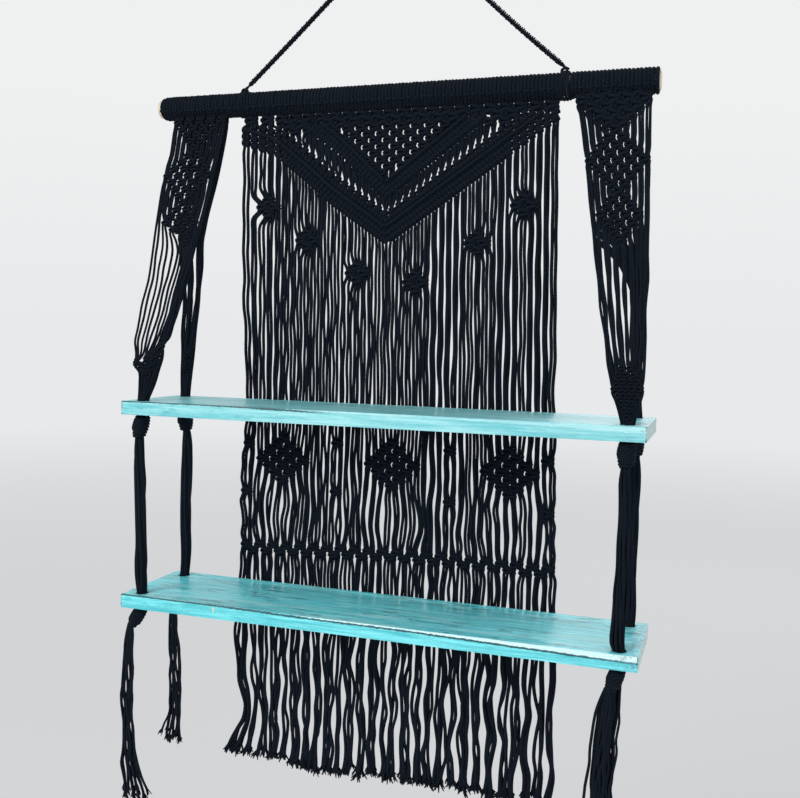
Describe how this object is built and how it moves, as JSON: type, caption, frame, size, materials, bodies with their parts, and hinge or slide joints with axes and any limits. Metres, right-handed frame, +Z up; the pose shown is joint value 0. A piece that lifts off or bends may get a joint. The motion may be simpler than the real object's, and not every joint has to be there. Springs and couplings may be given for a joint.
{
  "type": "hanging rope shelf",
  "caption": "Painted wood shelf boards hung by knotted cotton straps from a cord-covered dowel, with a knotted fringed panel behind and a V hanger with an eye.",
  "frame": {"origin": "middle of the hanging eye, where the nail goes", "axes": "+X to the viewer's right, +Y towards the wall, +Z up"},
  "size_m": [0.6245, 0.1344, 1.094],
  "materials": {
    "cotton_cord": "dyed cotton cord, matt",
    "pale_wood": "bare, sanded",
    "painted_wood": "distressed satin paint"
  },
  "bodies": {
    "eye": {"hanging_eye": "cotton_cord"},
    "hung_frame": {"eye_binding": "cotton_cord", "hanger_leg_left": "cotton_cord", "hanger_leg_right": "cotton_cord", "leg_tie_left": "cotton_cord", "leg_tie_right": "cotton_cord", "dowel": "pale_wood", "dowel_knots_left": "cotton_cord", "dowel_knots_centre": "cotton_cord", "dowel_knots_right": "cotton_cord", "panel_head_row": "cotton_cord", "net_triangle": "cotton_cord", "inner_chevron": "cotton_cord", "chevron_cords": "cotton_cord", "outer_chevron": "cotton_cord", "curtain_upper": "cotton_cord", "knot_cluster_1": "cotton_cord", "knot_cluster_2": "cotton_cord", "knot_cluster_3": "cotton_cord", "knot_cluster_4": "cotton_cord", "knot_cluster_5": "cotton_cord", "knot_cluster_6": "cotton_cord", "curtain_middle": "cotton_cord", "net_diamond_left": "cotton_cord", "net_diamond_centre": "cotton_cord", "net_diamond_right": "cotton_cord", "knot_band": "cotton_cord", "curtain_lower": "cotton_cord"},
    "panel_fringe": {"fringe": "cotton_cord"},
    "upper_shelf": {"strap_front_left": "cotton_cord", "strap_rear_left": "cotton_cord", "strap_front_right": "cotton_cord", "strap_rear_right": "cotton_cord", "stopper_knot_front_left": "cotton_cord", "stopper_knot_rear_left": "cotton_cord", "stopper_knot_front_right": "cotton_cord", "stopper_knot_rear_right": "cotton_cord", "upper_board": "painted_wood"},
    "lower_straps_front": {"lower_strap_front_left": "cotton_cord", "lower_strap_front_right": "cotton_cord"},
    "lower_straps_rear": {"lower_strap_rear_left": "cotton_cord", "lower_strap_rear_right": "cotton_cord"},
    "lower_shelf": {"lower_board": "painted_wood", "lower_knot_front_left": "cotton_cord", "lower_knot_rear_left": "cotton_cord", "lower_knot_front_right": "cotton_cord", "lower_knot_rear_right": "cotton_cord"},
    "tassel_front_left": {"tail_front_left": "cotton_cord"},
    "tassel_rear_left": {"tail_rear_left": "cotton_cord"},
    "tassel_front_right": {"tail_front_right": "cotton_cord"},
    "tassel_rear_right": {"tail_rear_right": "cotton_cord"}
  },
  "joints": [
    {"name": "sway", "type": "hinge", "parent": "eye", "child": "hung_frame", "pos_m": [0, 0, 0], "axis": [0, 1, 0], "range_deg": [-8, 8]},
    {"name": "shelf_swing", "type": "hinge", "parent": "hung_frame", "child": "upper_shelf", "pos_m": [0, -0.00735, -0.232], "axis": [-1, 0, 0], "range_deg": [0, 15]},
    {"name": "lower_swing", "type": "hinge", "parent": "upper_shelf", "child": "lower_straps_front", "pos_m": [0.003, -0.111, -0.64425], "axis": [-1, 0, 0], "range_deg": [0, 15]},
    {"name": "lower_swing_rear", "type": "hinge", "parent": "upper_shelf", "child": "lower_straps_rear", "pos_m": [0.003, -0.017, -0.64425], "axis": [-1, 0, 0], "range_deg": [0, 15]},
    {"name": "lower_board_level", "type": "hinge", "parent": "lower_straps_front", "child": "lower_shelf", "pos_m": [0.003, -0.111, -0.8171], "axis": [-1, 0, 0], "range_deg": [-15, 0]},
    {"name": "tassel_swing_front_left", "type": "hinge", "parent": "lower_shelf", "child": "tassel_front_left", "pos_m": [-0.2902, -0.111, -0.87425], "axis": [-1, 0, 0], "range_deg": [-18, 25]},
    {"name": "tassel_swing_rear_left", "type": "hinge", "parent": "lower_shelf", "child": "tassel_rear_left", "pos_m": [-0.2924, -0.017, -0.87425], "axis": [-1, 0, 0], "range_deg": [0, 25]},
    {"name": "tassel_swing_front_right", "type": "hinge", "parent": "lower_shelf", "child": "tassel_front_right", "pos_m": [0.2764, -0.111, -0.87425], "axis": [-1, 0, 0], "range_deg": [-18, 25]},
    {"name": "tassel_swing_rear_right", "type": "hinge", "parent": "lower_shelf", "child": "tassel_rear_right", "pos_m": [0.2764, -0.017, -0.87425], "axis": [-1, 0, 0], "range_deg": [0, 25]},
    {"name": "fringe_swing", "type": "hinge", "parent": "hung_frame", "child": "panel_fringe", "pos_m": [-0.004, 0.003, -0.8485], "axis": [-1, 0, 0], "range_deg": [0, 25]}
  ],
  "couplings": [
    {"joint": "lower_swing_rear", "follows": "lower_swing", "ratio": 1},
    {"joint": "lower_board_level", "follows": "lower_swing", "ratio": -1}
  ]
}
